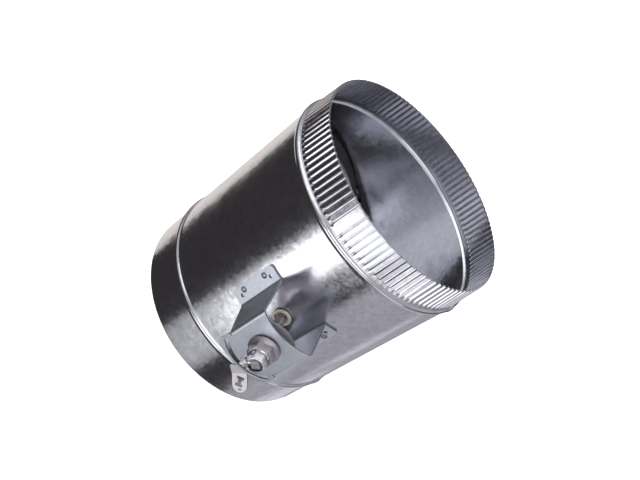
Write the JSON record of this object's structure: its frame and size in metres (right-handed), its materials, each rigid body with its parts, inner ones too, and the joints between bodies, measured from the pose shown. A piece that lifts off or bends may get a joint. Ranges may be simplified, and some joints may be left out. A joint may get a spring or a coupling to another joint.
{
  "type": "volume control damper",
  "caption": "Round sheet-metal duct damper: crimped and plain ends, rubber-sealed blade on a square shaft, and a hand lever with lock nut on a stand-off bracket.",
  "frame": {"origin": "centre of the plain end's rim", "axes": "+Z along the duct towards the crimped end, -Y along the shaft towards the regulator, +X to the right when the regulator faces the viewer"},
  "size_m": [0.2585, 0.3343, 0.295],
  "materials": {
    "galvanised_sheet": "spangled hot-dip zinc",
    "bracket_steel": "matt blue-grey zinc",
    "zinc_plated": "bright zinc plate",
    "bright_steel": "machined and plated",
    "dull_zinc": "dull zinc casting",
    "spring_steel": "black oxide",
    "nylon": "natural nylon",
    "black_rubber": "EPDM"
  },
  "bodies": {
    "casing": {"duct_casing": "galvanised_sheet", "standoff_bracket": "bracket_steel", "bracket_rivets": "zinc_plated", "front_bearing": "nylon", "front_bearing_seal": "black_rubber", "front_bearing_clip": "spring_steel", "rear_bearing": "nylon", "rear_bearing_seal": "black_rubber", "rear_bearing_clip": "spring_steel", "nut_washer": "zinc_plated"},
    "blade": {"blade_shaft": "bright_steel", "blade_plate": "galvanised_sheet", "blade_gasket": "black_rubber", "clamp_plate": "galvanised_sheet", "blade_rivets": "zinc_plated", "shaft_straps": "bracket_steel", "strap_bolts": "zinc_plated", "strap_nuts": "zinc_plated", "hub": "bright_steel", "set_screw": "bright_steel", "lever": "bracket_steel", "stop_pin": "zinc_plated", "friction_washer": "nylon", "spring_washer": "spring_steel"},
    "lock_nut": {"lock_nut": "dull_zinc"}
  },
  "joints": [
    {"name": "blade_turn", "type": "hinge", "parent": "casing", "child": "blade", "pos_m": [0, 0, 0.1488], "axis": [0, -1, 0], "range_deg": [-55, 35]},
    {"name": "lock_nut_turn", "type": "hinge", "parent": "blade", "child": "lock_nut", "pos_m": [0, 0, 0.1488], "axis": [0, -1, 0], "range_deg": [0, 90]}
  ]
}
